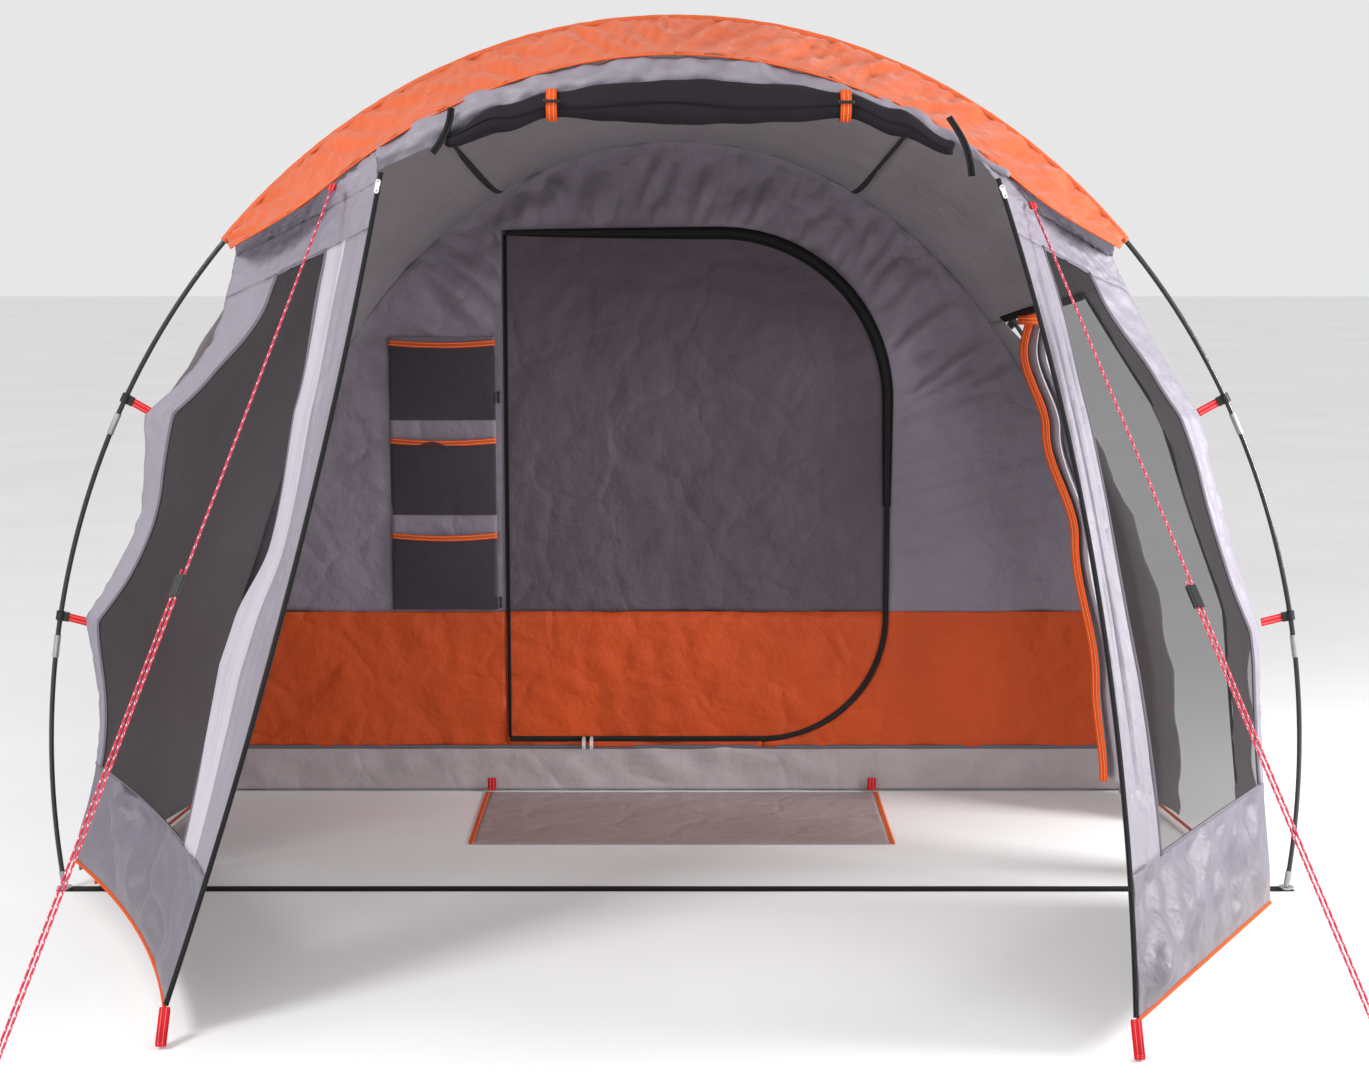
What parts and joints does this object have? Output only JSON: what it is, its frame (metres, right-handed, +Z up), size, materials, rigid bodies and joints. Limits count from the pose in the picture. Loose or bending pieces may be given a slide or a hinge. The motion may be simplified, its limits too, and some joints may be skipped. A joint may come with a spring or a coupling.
{
  "type": "dome tent",
  "caption": "Dome tent with a crossing-pole sleeping cabin and a hooped front porch with open door panels, mesh windows and a mat.",
  "frame": {"origin": "on the ground, under the middle of the strap between the feet of the porch hoop", "axes": "+Z up; +Y from the porch back into the cabin, so the door faces -Y; +X to the right seen from the door"},
  "size_m": [2.7708, 4.404, 1.9095],
  "materials": {
    "pole_black": "smooth fibreglass",
    "ferrule": "satin",
    "steel": "plated",
    "elastic": "woven elastic",
    "webbing_black": "flat woven webbing",
    "webbing_red": "flat woven webbing",
    "plastic_black": "moulded",
    "fly_orange": "coated polyester taffeta",
    "fly_grey": "coated polyester taffeta",
    "hem_orange": "bound tape",
    "mesh_dark": "fine insect mesh",
    "zip_black": "coil zip on tape",
    "slider_metal": "cast",
    "pull_white": "moulded",
    "inner_grey": "breathable polyester",
    "inner_orange": "breathable polyester",
    "door_charcoal": "breathable polyester",
    "tub_grey": "coated woven polyethylene",
    "mat_grey": "coated woven",
    "rope_pink": "braided, flecked"
  },
  "bodies": {
    "tent": {"cabin_front_wall": "inner_grey", "cabin_rear": "fly_grey", "cabin_roof": "inner_grey", "cabin_side_left": "fly_grey", "cabin_side_right": "fly_grey", "cabin_skirt": "inner_orange", "clip_webbing": "webbing_red", "crown_patch": "fly_grey", "door_zips": "zip_black", "front_door_roll": "mesh_dark", "front_panel_left": "fly_grey", "front_panel_right": "fly_grey", "ground_straps": "webbing_black", "groundsheet": "tub_grey", "guy_loops": "rope_pink", "guyline_left": "rope_pink", "guyline_return_left": "rope_pink", "guyline_return_right": "rope_pink", "guyline_right": "rope_pink", "hems": "hem_orange", "hoop_sections": "pole_black", "hoop_sleeve": "fly_orange", "inner_rear": "inner_grey", "inner_sides": "inner_grey", "mat_tabs": "webbing_red", "mesh_pockets": "mesh_dark", "mesh_windows": "mesh_dark", "orange_band": "fly_orange", "pocket_backing": "inner_grey", "pocket_bindings": "hem_orange", "pole_a_sections": "pole_black", "pole_b_sections": "pole_black", "pole_clips": "plastic_black", "pole_ends": "steel", "pole_ferrules": "ferrule", "porch_roof": "fly_grey", "porch_side_left": "fly_grey", "porch_side_right": "fly_grey", "shock_cords": "elastic", "side_curtain_hem": "hem_orange", "side_door_curtain": "fly_grey", "tie_loops": "fly_orange", "toggles": "plastic_black", "tub_walls": "tub_grey", "webbing_loops": "webbing_red"},
    "cabin_door": {"cabin_door_upper": "door_charcoal", "cabin_door_lower": "inner_orange", "cabin_door_zip": "zip_black"},
    "mat_body": {"mat": "mat_grey", "mat_edging": "hem_orange"},
    "cabin_slider_one": {"cabin_slider_1": "slider_metal"},
    "cabin_slider_two": {"cabin_slider_2": "slider_metal"},
    "cabin_pull_one": {"cabin_pull_1": "pull_white"},
    "cabin_pull_two": {"cabin_pull_2": "pull_white"},
    "fly_slider_left": {"door_slider_left": "slider_metal"},
    "fly_slider_right": {"door_slider_right": "slider_metal"},
    "fly_pull_left": {"door_pull_left": "pull_white"},
    "fly_pull_right": {"door_pull_right": "pull_white"},
    "runner_left": {"guy_runner_left": "plastic_black"},
    "runner_right": {"guy_runner_right": "plastic_black"}
  },
  "joints": [
    {"name": "cabin_door_swing", "type": "hinge", "parent": "tent", "child": "cabin_door", "pos_m": [-0.4415, 0.894, 0.78], "axis": [0, 0, -1], "range_deg": [0, 90]},
    {"name": "mat_fold", "type": "hinge", "parent": "tent", "child": "mat_body", "pos_m": [0.013, 0.872, 0], "axis": [-1, 0, 0], "range_deg": [0, 14]},
    {"name": "cabin_slider_one_slide", "type": "slide", "parent": "cabin_door", "child": "cabin_slider_one", "axis": [1, 0, 0], "range_m": [-0.19, 0]},
    {"name": "cabin_slider_two_slide", "type": "slide", "parent": "cabin_door", "child": "cabin_slider_two", "axis": [1, 0, 0], "range_m": [0, 0.42]},
    {"name": "cabin_pull_one_flip", "type": "hinge", "parent": "cabin_slider_one", "child": "cabin_pull_one", "pos_m": [-0.242, 0.8844, 0.1446], "axis": [-1, 0, 0], "range_deg": [0, 150]},
    {"name": "cabin_pull_two_flip", "type": "hinge", "parent": "cabin_slider_two", "child": "cabin_pull_two", "pos_m": [-0.222, 0.8844, 0.1446], "axis": [-1, 0, 0], "range_deg": [0, 150]},
    {"name": "fly_slider_left_slide", "type": "hinge", "parent": "tent", "child": "fly_slider_left", "pos_m": [-12.0376, 0.22853, 2.99941], "axis": [0, 0.9268, -0.3756], "range_deg": [0, 7.18]},
    {"name": "fly_pull_left_flip", "type": "hinge", "parent": "fly_slider_left", "child": "fly_pull_left", "pos_m": [-0.58573, -0.36852, 1.55771], "axis": [-0.9908, 0.0509, 0.1255], "range_deg": [0, 150]},
    {"name": "fly_slider_right_slide", "type": "hinge", "parent": "tent", "child": "fly_slider_right", "pos_m": [-4.89853, -0.94526, 0.23129], "axis": [0, 0.9126, -0.4088], "range_deg": [0, 14.44]},
    {"name": "fly_pull_right_flip", "type": "hinge", "parent": "fly_slider_right", "child": "fly_pull_right", "pos_m": [0.64812, -0.3688, 1.5469], "axis": [-0.9683, -0.1022, -0.2281], "range_deg": [0, 150]},
    {"name": "runner_left_slide", "type": "slide", "parent": "tent", "child": "runner_left", "axis": [-0.2267, -0.5839, -0.7795], "range_m": [0, 0.6]},
    {"name": "runner_right_slide", "type": "slide", "parent": "tent", "child": "runner_right", "axis": [0.2527, -0.589, -0.7676], "range_m": [0, 0.6]}
  ]
}
